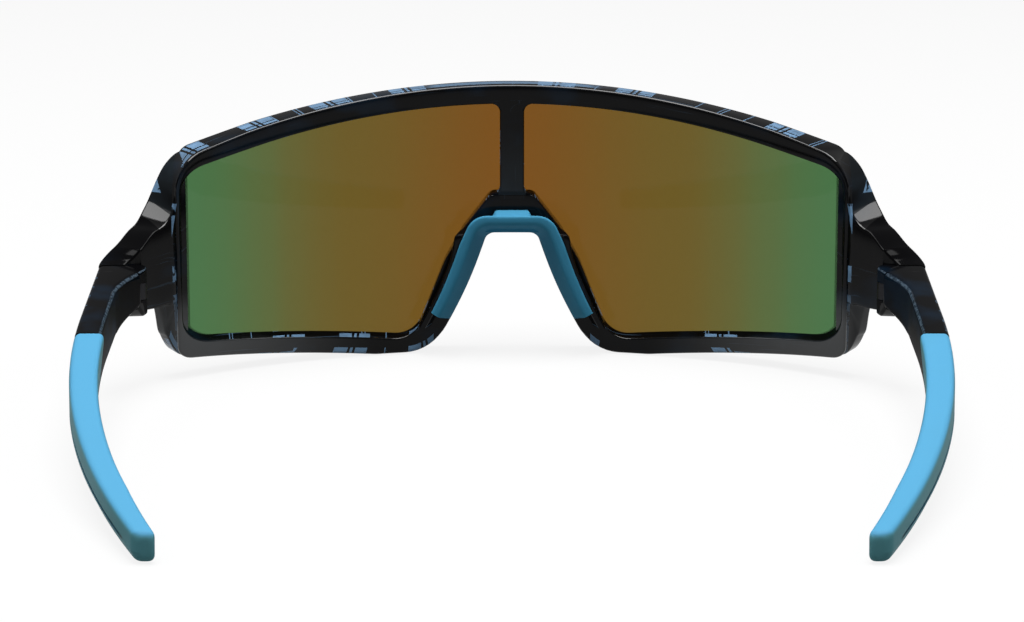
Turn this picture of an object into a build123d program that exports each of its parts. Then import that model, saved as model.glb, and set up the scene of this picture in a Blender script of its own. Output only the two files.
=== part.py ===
from build123d import *
import os
from math import asin, cos, degrees, radians, sin, sqrt, tan

# Wraparound sport sunglasses: a full-rim front with one curved shield lens, a rubber nose saddle
# and two folding temples with rubber ear socks.
# Millimetres. X is the wearer's left, Z is up, and the glasses look along -Y. They stand on
# z = 0 on two short flats of the lower rim, one beside each nose wing, and on the tips of the socks.

# ---- overall sizes -------------------------------------------------------------------------
overall_depth = 158.0        # front of the brow to the tips of the socks
overall_height = 51.3        # table to the top of the brow
temple_outer_x = 74.6        # outer face of a temple, from the middle plane

# ---- wrap of the front ---------------------------------------------------------------------
front_radius = 90.0          # front face of the rim, seen from above
rim_depth = 6.5              # front face to back face of the rim
wrap_angle = 45.0            # turn of the front face where it runs on straight into the endpiece
rim_half_width = 61.8        # outer wall of the rim, behind the endpiece
rim_side_width = 1.8         # outer wall of the rim to the side of the opening
endpiece_thickness = 3.8     # endpiece where it leaves the rim
endpiece_root_overlap = 0.4  # the endpiece reaches this far into the wall of the rim
endpiece_corner_radius = 7.0
endpiece_low_point = (5.0, 2.0)     # on its top line: ahead of the joint, above the temple's top
endpiece_low_radius = 12.0
endpiece_high_point = (11.1, 10.1)  # the same, where the top line turns up to the brow
endpiece_high_radius = 9.0
endpiece_brow_lead = 14.0           # joint to the top line at the height of the brow
endpiece_root_lead = 13.5           # joint to the front of the endpiece's underside, at the table
endpiece_armpit_lead = 11.5         # joint to the start of the flat underside
endpiece_armpit_radius = 3.0

# ---- lens ----------------------------------------------------------------------------------
lens_thickness = 2.0
lens_set_back = 2.0          # front face of the rim to the front face of the lens
lens_lap = 1.0               # how far the lens reaches into its groove
groove_clearance = 0.1

# ---- outline of the front, seen from behind ------------------------------------------------
brow_radius = 200.0          # curve of the top edge
brow_height = 4.15           # top of the rim to the opening below it
brow_corner_outset = 2.2     # rim wall to where the brow and the side would meet
brow_corner_drop = 10.4      # top of the brow to where the brow and the side would meet
brow_corner_radius = 6.0
side_top_outset = 4.5        # rim wall to the upper end of the endpiece's root
side_top_drop = 17.7         # top of the brow to that root
side_bottom_outset = 4.9     # rim wall to the lower end of the endpiece's root
foot_corner_outset = 2.6     # rim wall to where the side and the lower rim would meet
foot_corner_z = 4.1
foot_corner_radius = 4.5
rest_outer_x = 26.0          # the flat that the front rests on
rest_nose_x = 15.1           # where the rest flat and the nose wall would meet
rest_nose_radius = 5.0
opening_top_corner_radius = 4.5
opening_foot_corner_radius = 3.6
opening_foot_z = 7.0         # lower edge of the opening at its outer end
opening_nose_foot = (18.8, 2.8)
opening_nose_foot_radius = 3.6
opening_nose_shoulder = (8.9, 24.9)
opening_nose_top = (5.0, 30.3)

# ---- centre bar behind the lens ------------------------------------------------------------
bar_width = 4.6
bar_thickness = 2.3

# ---- nose arch, wings and pad --------------------------------------------------------------
nose_wall_foot = (12.5, 5.6)  # inner edge of the pad at its foot
nose_wall_top = (4.8, 22.5)   # inner edge of the pad at its top
nose_arch_z = 23.3            # underside of the arch of the pad
nose_arch_radius = 1.0
nose_flare = 20.0             # the pad opens towards the wearer by this angle
pad_depth = 7.2
pad_thickness = 1.9
pad_foot_z = 6.4
pad_clearance = 0.15
wing_thickness = 1.3
wing_depth = 5.2
wing_foot_z = 5.2
wing_top_z = 24.6
pad_tongue_width = 6.6
pad_tongue_height = 1.2
pad_tongue_reach = 2.8        # back face of the rim to the end of the tongue in its notch
pad_tongue_root = 1.2         # the tongue runs this far into the pad

# ---- temple --------------------------------------------------------------------------------
corner_to_joint = 3.18       # outer corner of the endpiece to the butt face of the temple
joint_gap = 0.2
joint_top_z = 22.7           # top of the temple at the joint
tip_height = 4.7             # height of a sock's tip, which stands on z = 0
arm_width = 4.6
arm_height_front = 8.6
arm_height_back = 7.2
straight_length = 25.5       # joint to where the arm starts to curve towards the head
bend_radius = 228.0
knuckle_radius = 2.0
pivot_from_outer = 6.8       # outer face of the temple to the pivot axis
pivot_inset = 1.0            # butt face of the temple to the pivot axis
hinge_block_length = 10.5    # butt face to where the wide hinge block has narrowed to the arm
hinge_block_start_pull = 0.3  # how soon the inner face of the block turns towards the arm

# ---- ear sock ------------------------------------------------------------------------------
bare_arm_length = 34.5       # joint to the front edge of the sock, on top
sock_slant = 9.0             # the sock starts this much further back on its underside
sock_width_front = 5.2
sock_width_tip = 3.9
sock_height_front = 7.6
sock_wall = 1.0
tip_level_cut = 0.3          # the underside of the tip is cut level by this much, to stand flat
sock_end_wall = 5.0
sock_clearance = 0.05

# ---- hinge ---------------------------------------------------------------------------------
tongue_height = 3.0
tongue_gap = 0.1             # above and below the tongue, in the fork of the temple
tongue_bar_width = 2.2
tongue_bar_outset = 1.7      # pivot axis to the middle of the bar
tongue_bar_length = 6.2      # how far the bar lies in the endpiece
tongue_end_inset = 0.5       # joint face to the square end of the bar, inside the fork
tongue_clearance = 0.03
knuckle_clearance = 0.25
screw_shank_radius = 0.70
screw_running_clearance = 0.05
screw_head_radius = 1.25
screw_recess = 0.15          # lower face of the screw head above the underside of the temple
screw_head_height = 0.8
screw_slot_width = 0.4
screw_slot_depth = 0.4
insert_radius = 1.3
insert_height = 1.8
insert_roof = 0.6            # plastic left above the insert
thread_clearance = 0.03
pin_radius = 0.5
pin_length = 6.0
pin_chamfer = 0.15

# ---- edges ---------------------------------------------------------------------------------
rim_edge_radius = 0.7        # along the top edges of the brow
arm_edge_radius = 0.9        # along the outer edges of the temple
sock_edge_radius = 1.1
pad_edge_radius = 0.8

# Values that follow from the sizes above.
front_y = -overall_depth / 2
tip_y = overall_depth / 2
wrap_centre_y = front_y + front_radius
back_radius = front_radius - rim_depth
lens_front_radius = front_radius - lens_set_back
lens_back_radius = lens_front_radius - lens_thickness
rim_back_y = wrap_centre_y - back_radius
opening_half_width = rim_half_width - rim_side_width
brow_corner = (rim_half_width + brow_corner_outset, overall_height - brow_corner_drop)
side_top = (rim_half_width + side_top_outset, overall_height - side_top_drop)
foot_corner = (rim_half_width + foot_corner_outset, foot_corner_z)
wrap_end = (
    front_radius * sin(radians(wrap_angle)),
    wrap_centre_y - front_radius * cos(radians(wrap_angle)),
)
outer_corner_y = wrap_end[1] + (temple_outer_x - wrap_end[0]) / tan(radians(wrap_angle))
joint_y = outer_corner_y + corner_to_joint
joint_bottom_z = joint_top_z - arm_height_front
side_bottom = (rim_half_width + side_bottom_outset, joint_bottom_z)
pivot_x = temple_outer_x - pivot_from_outer
pivot_y = joint_y + pivot_inset
bend_start_y = joint_y + straight_length
sock_top_y = joint_y + bare_arm_length
sock_bottom_y = sock_top_y + sock_slant
brow_centre_z = overall_height - brow_radius
brow_middle_x = opening_half_width / 2
opening_radius = brow_radius - brow_height
temple_slope = (joint_top_z - tip_height) / (tip_y - joint_y)
tongue_z = joint_top_z - arm_height_front / 2
reach = 2 * overall_depth    # longer than any cut needs


def brow_z(x, radius):
    """Height of a brow curve of the given radius, at x from the middle."""
    return brow_centre_z + sqrt(radius**2 - x**2)


def wrap_y(x, radius):
    """Y of an upright cylinder of the given radius about the wrap axis, at x."""
    return wrap_centre_y - sqrt(radius**2 - x**2)


def temple_top_z(y):
    """Top line of the temple and the sock, which falls evenly to the tip."""
    return joint_top_z - temple_slope * (y - joint_y)


def temple_outer_x_at(y):
    """Outer face of the temple: straight, then an arc that curves towards the head."""
    run = max(0.0, y - bend_start_y)
    return temple_outer_x - (bend_radius - sqrt(bend_radius**2 - run**2))


def nose_line_x(z):
    """Inner edge of the nose pad at its front, at height z."""
    slope = (nose_wall_top[0] - nose_wall_foot[0]) / (nose_wall_top[1] - nose_wall_foot[1])
    return nose_wall_foot[0] + slope * (z - nose_wall_foot[1])


os.makedirs("parts", exist_ok=True)

# ---- outlines of the front, on the XZ plane ------------------------------------------------
with BuildSketch(Plane.XZ) as rim_outline:
    with BuildLine():
        brow_end = (opening_half_width, brow_z(opening_half_width, brow_radius))
        brow_middle = (brow_middle_x, brow_z(brow_middle_x, brow_radius))
        brow_line = ThreePointArc((0, overall_height), brow_middle, brow_end)
        side_line = Polyline(
            brow_line @ 1,
            brow_corner,
            side_top,
            side_bottom,
            foot_corner,
            (rest_outer_x, 0),
            (rest_nose_x, 0),
            (nose_line_x(nose_arch_z), nose_arch_z),
            (0, nose_arch_z),
        )
        Line(side_line @ 1, (0, overall_height))
    make_face()
    fillet(rim_outline.vertices().sort_by_distance(brow_corner)[0], brow_corner_radius)
    fillet(rim_outline.vertices().sort_by_distance(foot_corner)[0], foot_corner_radius)
    fillet(rim_outline.vertices().sort_by_distance((rest_nose_x, 0))[0], rest_nose_radius)
    mirror(about=Plane.YZ)

with BuildSketch(Plane.XZ) as opening_outline:
    with BuildLine():
        opening_corner = (opening_half_width, brow_z(opening_half_width, opening_radius))
        opening_middle = (brow_middle_x, brow_z(brow_middle_x, opening_radius))
        top_line = ThreePointArc((0, brow_z(0, opening_radius)), opening_middle, opening_corner)
        lower_line = Polyline(
            top_line @ 1,
            (opening_half_width, opening_foot_z),
            opening_nose_foot,
            opening_nose_shoulder,
            opening_nose_top,
            (0, opening_nose_top[1]),
        )
        Line(lower_line @ 1, top_line @ 0)
    make_face()
    corners = (
        (opening_corner, opening_top_corner_radius),
        ((opening_half_width, opening_foot_z), opening_foot_corner_radius),
        (opening_nose_foot, opening_nose_foot_radius),
    )
    for corner, radius in corners:
        fillet(opening_outline.vertices().sort_by_distance(corner)[0], radius)
    mirror(about=Plane.YZ)

with BuildSketch(Plane.XZ) as lens_outline:
    add(opening_outline.sketch_local)
    offset(amount=lens_lap)

with BuildSketch(Plane.XZ) as groove_outline:
    add(opening_outline.sketch_local)
    offset(amount=lens_lap + groove_clearance)


# ---- endpiece: carries the rim round to the hinge, left side -------------------------------
root_angle = degrees(asin((rim_half_width - endpiece_root_overlap) / front_radius))
groove_floor_y = wrap_y(rim_half_width, front_radius) + endpiece_thickness / sin(radians(wrap_angle))
endpiece_face_y = joint_y - joint_gap

with BuildPart() as endpiece:
    with BuildSketch(Plane.XY) as endpiece_plan:
        with BuildLine():
            wrap_arc = CenterArc(
                (0, wrap_centre_y), front_radius, wrap_angle - 90, root_angle - wrap_angle
            )
            Polyline(
                wrap_arc @ 0,
                (temple_outer_x, outer_corner_y),
                (temple_outer_x, endpiece_face_y),
                (pivot_x, endpiece_face_y),
                (rim_half_width, groove_floor_y),
                (wrap_arc @ 1),
            )
        make_face()
        outer_corner = (temple_outer_x, outer_corner_y)
        fillet(endpiece_plan.vertices().sort_by_distance(outer_corner)[0], endpiece_corner_radius)
    extrude(amount=overall_height)
    with BuildSketch(Plane.YZ) as endpiece_side:
        low_corner = (joint_y - endpiece_low_point[0], joint_top_z + endpiece_low_point[1])
        high_corner = (joint_y - endpiece_high_point[0], joint_top_z + endpiece_high_point[1])
        armpit = (joint_y - endpiece_armpit_lead, joint_bottom_z)
        with BuildLine():
            Polyline(
                (endpiece_face_y, joint_bottom_z),
                (endpiece_face_y, joint_top_z),
                low_corner,
                high_corner,
                (joint_y - endpiece_brow_lead, overall_height),
                (front_y, overall_height),
                (front_y, 0),
                (joint_y - endpiece_root_lead, 0),
                armpit,
                (endpiece_face_y, joint_bottom_z),
            )
        make_face()
        fillet(endpiece_side.vertices().sort_by_distance(low_corner)[0], endpiece_low_radius)
        fillet(endpiece_side.vertices().sort_by_distance(high_corner)[0], endpiece_high_radius)
        fillet(endpiece_side.vertices().sort_by_distance(armpit)[0], endpiece_armpit_radius)
    extrude(amount=reach, both=True, mode=Mode.INTERSECT)
    with BuildSketch(Plane.XZ):
        add(rim_outline.sketch_local)
        with Locations((side_top[0], side_bottom[1])):
            Rectangle(reach, side_top[1] - side_bottom[1], align=(Align.CENTER, Align.MIN))
        add(opening_outline.sketch_local, mode=Mode.SUBTRACT)
    extrude(amount=reach, both=True, mode=Mode.INTERSECT)


# ---- nose arch: one flared form shared by the pad, the wings and their clearances ----------
def nose_flare_solid(wall, from_y, to_y):
    """Filled nose arch, grown by `wall` from the pad's inner face, widening towards the wearer."""
    foot_z = -overall_height / 2
    half_foot = nose_line_x(foot_z)
    half_top = nose_line_x(nose_arch_z)
    with BuildPart() as flare:
        for y in (from_y, to_y):
            grown = wall + (y - rim_back_y) * tan(radians(nose_flare))
            with BuildSketch(Plane.XZ.offset(-y)) as arch:
                with BuildLine():
                    Polyline(
                        (half_foot, foot_z),
                        (half_top, nose_arch_z),
                        (-half_top, nose_arch_z),
                        (-half_foot, foot_z),
                        close=True,
                    )
                make_face()
                offset(amount=grown, kind=Kind.INTERSECTION)
                fillet(arch.vertices().group_by(Axis.Y)[-1], nose_arch_radius + max(0.0, grown))
        loft()
    return flare.part


pad_back_y = rim_back_y + pad_depth
wing_back_y = rim_back_y + wing_depth
wing_root_y = rim_back_y - bar_thickness / 2
pad_outer_form = nose_flare_solid(pad_thickness, rim_back_y, pad_back_y)
pad_inner_form = nose_flare_solid(0.0, rim_back_y, pad_back_y + pad_thickness)
wing_inner_form = nose_flare_solid(pad_thickness + pad_clearance, rim_back_y, wing_back_y + pad_thickness)
wing_outer_form = nose_flare_solid(
    pad_thickness + pad_clearance + wing_thickness, rim_back_y, wing_back_y
)

with BuildPart() as nose_wings:
    add(wing_outer_form)
    add(wing_inner_form, mode=Mode.SUBTRACT)
    with Locations((0, wing_root_y, (wing_foot_z + wing_top_z) / 2)):
        Box(reach, reach, wing_top_z - wing_foot_z, mode=Mode.INTERSECT)

# ---- nose pad: one soft saddle that clips behind the bridge --------------------------------
with BuildPart() as nose_pad:
    add(pad_outer_form)
    add(pad_inner_form, mode=Mode.SUBTRACT)
    with Locations((0, rim_back_y, pad_foot_z)):
        Box(reach, reach, reach, align=(Align.CENTER, Align.CENTER, Align.MAX), mode=Mode.SUBTRACT)
    with Locations((0, wrap_centre_y)):
        Cylinder(back_radius - pad_clearance, reach, mode=Mode.INTERSECT)
    with Locations((0, rim_back_y - pad_tongue_reach, nose_arch_z + pad_thickness)):
        Box(
            pad_tongue_width,
            pad_tongue_reach + pad_tongue_root,
            pad_tongue_height,
            align=(Align.CENTER, Align.MIN, Align.MIN),
        )
    fillet(nose_pad.edges().group_by(Axis.Y)[-1], pad_edge_radius)
nose_pad.part.label = "nose_pad"
export_step(nose_pad.part, "parts/nose_pad.step")

# ---- pieces and cuts of the front frame ----------------------------------------------------
with BuildPart() as centre_bar:
    with BuildSketch(Plane.XY):
        with Locations((0, wrap_centre_y)):
            Circle(back_radius + bar_thickness)
            Circle(back_radius, mode=Mode.SUBTRACT)
        with Locations((0, front_y)):
            Rectangle(
                bar_width, front_radius, align=(Align.CENTER, Align.MIN), mode=Mode.INTERSECT
            )
    extrude(amount=brow_z(0, opening_radius) + lens_lap)
    with Locations((0, 0, opening_nose_top[1] - lens_lap)):
        Box(
            reach, reach, reach, align=(Align.CENTER, Align.CENTER, Align.MIN), mode=Mode.INTERSECT
        )

with BuildPart() as lens_groove:
    with BuildSketch(Plane.XY):
        with Locations((0, wrap_centre_y)):
            Circle(lens_front_radius + groove_clearance)
            Circle(lens_back_radius - groove_clearance, mode=Mode.SUBTRACT)
        with Locations((0, front_y)):
            Rectangle(
                2 * rim_half_width,
                front_radius,
                align=(Align.CENTER, Align.MIN),
                mode=Mode.INTERSECT,
            )
    extrude(amount=overall_height)
    with BuildSketch(Plane.XZ):
        add(groove_outline.sketch_local)
    extrude(amount=reach, both=True, mode=Mode.INTERSECT)

with BuildPart() as pad_tongue_notch:
    with Locations((0, rim_back_y, nose_arch_z + pad_thickness - pad_clearance)):
        Box(
            pad_tongue_width + 2 * pad_clearance,
            2 * (pad_tongue_reach + pad_clearance),
            pad_tongue_height + 2 * pad_clearance,
            align=(Align.CENTER, Align.CENTER, Align.MIN),
        )

# The tongue of the hinge lies in the endpiece, and the temple's knuckle turns in a round recess.
tongue_bar_x = pivot_x + tongue_bar_outset
tongue_bar_front_y = endpiece_face_y - tongue_bar_length
tongue_bar_back_y = pivot_y - tongue_end_inset
tongue_bar_middle_y = (tongue_bar_front_y + tongue_bar_back_y) / 2
pin_y = endpiece_face_y - tongue_bar_length / 2
pin_top_z = joint_bottom_z + pin_length

with BuildPart() as hinge_pockets:
    with Locations((pivot_x, pivot_y)):
        Cylinder(knuckle_radius + knuckle_clearance, reach)
    with Locations((tongue_bar_x, tongue_bar_middle_y, tongue_z)):
        Box(
            tongue_bar_width + 2 * tongue_clearance,
            tongue_bar_back_y - tongue_bar_front_y + 2 * tongue_clearance,
            tongue_height + 2 * tongue_clearance,
        )
    with Locations((tongue_bar_x, pin_y, joint_bottom_z)):
        Cylinder(
            pin_radius + tongue_clearance,
            2 * (pin_length + tongue_clearance),
        )

# ---- front frame: rim, centre bar, nose wings and both endpieces in one moulding -----------
brow_edge_points = [
    (brow_middle_x, wrap_y(brow_middle_x, radius), brow_z(brow_middle_x, brow_radius))
    for radius in (front_radius, back_radius)
]

with BuildPart() as front_frame:
    with BuildSketch(Plane.XY):
        with Locations((0, wrap_centre_y)):
            Circle(front_radius)
            Circle(back_radius, mode=Mode.SUBTRACT)
        with Locations((0, front_y)):
            Rectangle(
                rim_half_width, front_radius, align=(Align.MIN, Align.MIN), mode=Mode.INTERSECT
            )
    extrude(amount=overall_height)
    with BuildSketch(Plane.XZ):
        add(rim_outline.sketch_local)
        add(opening_outline.sketch_local, mode=Mode.SUBTRACT)
    extrude(amount=reach, both=True, mode=Mode.INTERSECT)
    front_brow_edge = front_frame.edges().sort_by_distance(brow_edge_points[0])[0]
    back_brow_edge = front_frame.edges().sort_by_distance(brow_edge_points[1])[0]
    fillet([front_brow_edge, back_brow_edge], rim_edge_radius)
    add(nose_wings.part)
    add(centre_bar.part)
    add(endpiece.part)
    add(lens_groove.part, mode=Mode.SUBTRACT)
    add(pad_tongue_notch.part, mode=Mode.SUBTRACT)
    add(hinge_pockets.part, mode=Mode.SUBTRACT)
    split(bisect_by=Plane.YZ, keep=Keep.TOP)
    mirror(about=Plane.YZ)
front_frame.part.label = "front_frame"
export_step(front_frame.part, "parts/front_frame.step")

# ---- lens: one curved shield, snapped into the groove of the rim ---------------------------
with BuildPart() as shield_lens:
    with BuildSketch(Plane.XY):
        with Locations((0, wrap_centre_y)):
            Circle(lens_front_radius)
            Circle(lens_back_radius, mode=Mode.SUBTRACT)
        with Locations((0, front_y)):
            Rectangle(
                2 * rim_half_width,
                front_radius,
                align=(Align.CENTER, Align.MIN),
                mode=Mode.INTERSECT,
            )
    extrude(amount=overall_height)
    with BuildSketch(Plane.XZ):
        add(lens_outline.sketch_local)
    extrude(amount=reach, both=True, mode=Mode.INTERSECT)
shield_lens.part.label = "shield_lens"
export_step(shield_lens.part, "parts/shield_lens.step")


# ---- hinge tongue: steel eye on a bar, moulded into the endpiece ---------------------------
with BuildPart() as hinge_tongue_left:
    with BuildSketch(Plane.XY.offset(tongue_z - tongue_height / 2)):
        with Locations((pivot_x, pivot_y)):
            Circle(knuckle_radius)
        with Locations((tongue_bar_x, tongue_bar_middle_y)):
            Rectangle(tongue_bar_width, tongue_bar_back_y - tongue_bar_front_y)
        with Locations((pivot_x, pivot_y)):
            Circle(screw_shank_radius + screw_running_clearance, mode=Mode.SUBTRACT)
        with Locations((tongue_bar_x, pin_y)):
            Circle(pin_radius + tongue_clearance, mode=Mode.SUBTRACT)
    extrude(amount=tongue_height)

# ---- tongue pin: locks the tongue in the endpiece, pressed in from below -------------------
with BuildPart() as tongue_pin_left:
    with BuildSketch(Plane.XY.offset(joint_bottom_z)):
        with Locations((tongue_bar_x, pin_y)):
            Circle(pin_radius)
    extrude(amount=pin_length)
    chamfer(tongue_pin_left.edges().group_by(Axis.Z)[-1], pin_chamfer)

# ---- pivot screw and its threaded insert, in the fork of the temple ------------------------
fork_roof_z = tongue_z + tongue_height / 2 + tongue_gap
fork_floor_z = tongue_z - tongue_height / 2 - tongue_gap
insert_top_z = joint_top_z - insert_roof
insert_bottom_z = insert_top_z - insert_height
screw_bottom_z = joint_bottom_z + screw_recess
screw_top_z = insert_top_z - thread_clearance

with BuildPart() as hinge_screw_left:
    with BuildSketch(Plane.XY.offset(screw_bottom_z)):
        with Locations((pivot_x, pivot_y)):
            Circle(screw_head_radius)
    extrude(amount=screw_head_height)
    with BuildSketch(Plane.XY.offset(screw_bottom_z)):
        with Locations((pivot_x, pivot_y)):
            Circle(screw_shank_radius)
    extrude(amount=screw_top_z - screw_bottom_z)
    with Locations((pivot_x, pivot_y, screw_bottom_z)):
        Box(2 * screw_head_radius, screw_slot_width, 2 * screw_slot_depth, mode=Mode.SUBTRACT)

with BuildPart() as hinge_insert_left:
    with BuildSketch(Plane.XY.offset(insert_bottom_z)):
        with Locations((pivot_x, pivot_y)):
            Circle(insert_radius)
            Circle(screw_shank_radius + thread_clearance, mode=Mode.SUBTRACT)
    extrude(amount=insert_height)


# ---- temple and ear sock, left side --------------------------------------------------------
sock_front_plane = Plane(
    origin=(0, sock_top_y, temple_top_z(sock_top_y)),
    x_dir=(1, 0, 0),
    z_dir=(0, sock_height_front, sock_slant),
)
core_root_y = sock_top_y - sock_slant / 2
core_end_y = tip_y - sock_end_wall
arm_end_y = sock_bottom_y + sock_slant / 2
block_end_y = joint_y + hinge_block_length
long_edge_length = (core_end_y - sock_bottom_y) / 2   # only the long edges of a sock are longer


def sock_share(y):
    """0 at the front edge of the sock, 1 at its tip."""
    return (y - sock_top_y) / (tip_y - sock_top_y)


def sock_width(y):
    """Width of the sock, which tapers evenly to its tip."""
    return sock_width_front + (sock_width_tip - sock_width_front) * sock_share(y)


def sock_bottom_z(y):
    """Underside of the sock, a straight line that ends just under the level cut of its tip."""
    front_z = temple_top_z(sock_top_y) - sock_height_front
    return front_z - (front_z + tip_level_cut) * sock_share(y)


def sock_form(inset, to_y, edge):
    """Form of the ear sock up to to_y, taken in by `inset` from its outer surface."""
    middle_y = (bend_start_y + to_y) / 2
    with BuildPart() as form:
        with BuildSketch(Plane.XY):
            with BuildLine():
                Line(
                    (temple_outer_x_at(to_y) - sock_width(to_y) + inset, to_y),
                    (temple_outer_x_at(to_y) - inset, to_y),
                )
                ThreePointArc(
                    (temple_outer_x_at(to_y) - inset, to_y),
                    (temple_outer_x_at(middle_y) - inset, middle_y),
                    (temple_outer_x - inset, bend_start_y),
                )
                Line(
                    (temple_outer_x - inset, bend_start_y),
                    (temple_outer_x - sock_width(bend_start_y) + inset, bend_start_y),
                )
                ThreePointArc(
                    (temple_outer_x - sock_width(bend_start_y) + inset, bend_start_y),
                    (temple_outer_x_at(middle_y) - sock_width(middle_y) + inset, middle_y),
                    (temple_outer_x_at(to_y) - sock_width(to_y) + inset, to_y),
                )
            make_face()
        extrude(amount=overall_height)
        with BuildSketch(Plane.YZ):
            with BuildLine():
                Polyline(
                    (core_root_y, sock_bottom_z(core_root_y) + inset),
                    (core_root_y, temple_top_z(core_root_y) - inset),
                    (to_y, temple_top_z(to_y) - inset),
                    (to_y, sock_bottom_z(to_y) + inset),
                    close=True,
                )
            make_face()
        extrude(amount=reach, mode=Mode.INTERSECT)
        long_edges = form.edges().filter_by(lambda edge: edge.length > long_edge_length)
        fillet(long_edges, edge)
    return form.part


sock_core = sock_form(sock_wall + sock_clearance, core_end_y, sock_edge_radius / 2)
sock_cavity = sock_form(sock_wall, core_end_y + sock_clearance, sock_edge_radius / 2)

with BuildPart() as fork_slot:
    with BuildSketch(Plane.XY.offset(fork_floor_z)):
        with Locations((pivot_x, pivot_y)):
            Circle(knuckle_radius + knuckle_clearance)
            Rectangle(
                tongue_bar_outset + tongue_bar_width,
                2 * knuckle_radius,
                align=(Align.MIN, Align.MAX),
            )
    extrude(amount=fork_roof_z - fork_floor_z)

with BuildPart() as temple_left:
    with BuildSketch(Plane.XY):
        with BuildLine():
            Polyline(
                (temple_outer_x_at(arm_end_y) - arm_width, arm_end_y),
                (temple_outer_x_at(arm_end_y), arm_end_y),
            )
            ThreePointArc(
                (temple_outer_x_at(arm_end_y), arm_end_y),
                (temple_outer_x_at((arm_end_y + bend_start_y) / 2), (arm_end_y + bend_start_y) / 2),
                (temple_outer_x, bend_start_y),
            )
            hinge_block = Polyline(
                (temple_outer_x, bend_start_y),
                (temple_outer_x, joint_y),
                (pivot_x, joint_y),
            )
            Line(hinge_block @ 1, (pivot_x, pivot_y))
            Line((pivot_x, pivot_y), (pivot_x - knuckle_radius, pivot_y))
            neck = Spline(
                (pivot_x - knuckle_radius, pivot_y),
                (temple_outer_x - arm_width, block_end_y),
                tangents=((0, 1), (0, 1)),
                tangent_scalars=(hinge_block_start_pull, 1),
            )
            Line(neck @ 1, (temple_outer_x - arm_width, bend_start_y))
            ThreePointArc(
                (temple_outer_x - arm_width, bend_start_y),
                (
                    temple_outer_x_at((arm_end_y + bend_start_y) / 2) - arm_width,
                    (arm_end_y + bend_start_y) / 2,
                ),
                (temple_outer_x_at(arm_end_y) - arm_width, arm_end_y),
            )
        make_face()
        with Locations((pivot_x, pivot_y)):
            Circle(knuckle_radius)
    extrude(amount=overall_height)
    with BuildSketch(Plane.YZ):
        with BuildLine():
            Polyline(
                (joint_y - knuckle_radius, joint_bottom_z),
                (joint_y - knuckle_radius, temple_top_z(joint_y - knuckle_radius)),
                (arm_end_y, temple_top_z(arm_end_y)),
                (arm_end_y, temple_top_z(arm_end_y) - arm_height_back),
                (joint_y, joint_bottom_z),
                close=True,
            )
        make_face()
    extrude(amount=reach, mode=Mode.INTERSECT)
    outer_edges = temple_left.edges().group_by(Axis.X)[-1].filter_by(Axis.Z, reverse=True)
    fillet(outer_edges, arm_edge_radius)
    split(bisect_by=sock_front_plane, keep=Keep.BOTTOM)
    add(sock_core)
    add(fork_slot.part, mode=Mode.SUBTRACT)
    with Locations((pivot_x, pivot_y)):
        Cylinder(
            screw_shank_radius + screw_running_clearance,
            screw_top_z + thread_clearance,
            align=(Align.CENTER, Align.CENTER, Align.MIN),
            mode=Mode.SUBTRACT,
        )
        Cylinder(
            screw_head_radius + screw_running_clearance,
            screw_bottom_z + screw_head_height + screw_running_clearance,
            align=(Align.CENTER, Align.CENTER, Align.MIN),
            mode=Mode.SUBTRACT,
        )
    with Locations((pivot_x, pivot_y, insert_bottom_z)):
        Cylinder(
            insert_radius + thread_clearance,
            insert_height + thread_clearance,
            align=(Align.CENTER, Align.CENTER, Align.MIN),
            mode=Mode.SUBTRACT,
        )

with BuildPart() as ear_sock_left:
    add(sock_form(0.0, tip_y, sock_edge_radius))
    tip_edges = ear_sock_left.faces().sort_by(Axis.Y)[-1].edges()
    fillet(tip_edges, sock_edge_radius / 2)
    Box(
        reach, reach, tip_height, align=(Align.CENTER, Align.CENTER, Align.MAX), mode=Mode.SUBTRACT
    )
    split(bisect_by=sock_front_plane.offset(sock_clearance), keep=Keep.TOP)
    add(sock_cavity, mode=Mode.SUBTRACT)

# ---- both sides: the right-hand pieces are mirror images -----------------------------------
left_pieces = {
    "temple": temple_left,
    "ear_sock": ear_sock_left,
    "hinge_tongue": hinge_tongue_left,
    "tongue_pin": tongue_pin_left,
    "hinge_screw": hinge_screw_left,
    "hinge_insert": hinge_insert_left,
}
for piece_name, piece in left_pieces.items():
    piece.part.label = f"{piece_name}_left"
    export_step(piece.part, f"parts/{piece_name}_left.step")
    with BuildPart() as other_side:
        mirror(piece.part, about=Plane.YZ)
    other_side.part.label = f"{piece_name}_right"
    export_step(other_side.part, f"parts/{piece_name}_right.step")
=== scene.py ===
import math
from functools import partialmethod

import bmesh
import bpy
import numpy as np
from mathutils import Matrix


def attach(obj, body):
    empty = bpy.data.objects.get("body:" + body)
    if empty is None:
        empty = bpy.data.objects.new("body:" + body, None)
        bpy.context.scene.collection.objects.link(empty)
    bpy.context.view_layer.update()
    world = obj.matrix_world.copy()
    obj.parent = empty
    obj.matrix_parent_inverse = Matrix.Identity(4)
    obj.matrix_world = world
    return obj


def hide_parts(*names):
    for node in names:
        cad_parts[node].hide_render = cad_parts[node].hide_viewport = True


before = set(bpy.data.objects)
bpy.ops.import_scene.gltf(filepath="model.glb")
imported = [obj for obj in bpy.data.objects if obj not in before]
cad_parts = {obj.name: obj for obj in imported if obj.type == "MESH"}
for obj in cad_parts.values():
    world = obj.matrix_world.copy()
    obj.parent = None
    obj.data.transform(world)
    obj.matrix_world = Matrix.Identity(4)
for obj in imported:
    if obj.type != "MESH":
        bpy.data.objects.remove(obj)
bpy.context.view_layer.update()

# ---- rim ------------------------------------------------------------------------------------------
# The full rim of the front, one gloss black moulding that wraps round an upright cylinder.
# A rounded bar of changing width between an outer outline and the outline of the lens opening,
# both drawn in the XZ plane and laid on that cylinder.
MM = 0.001
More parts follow.
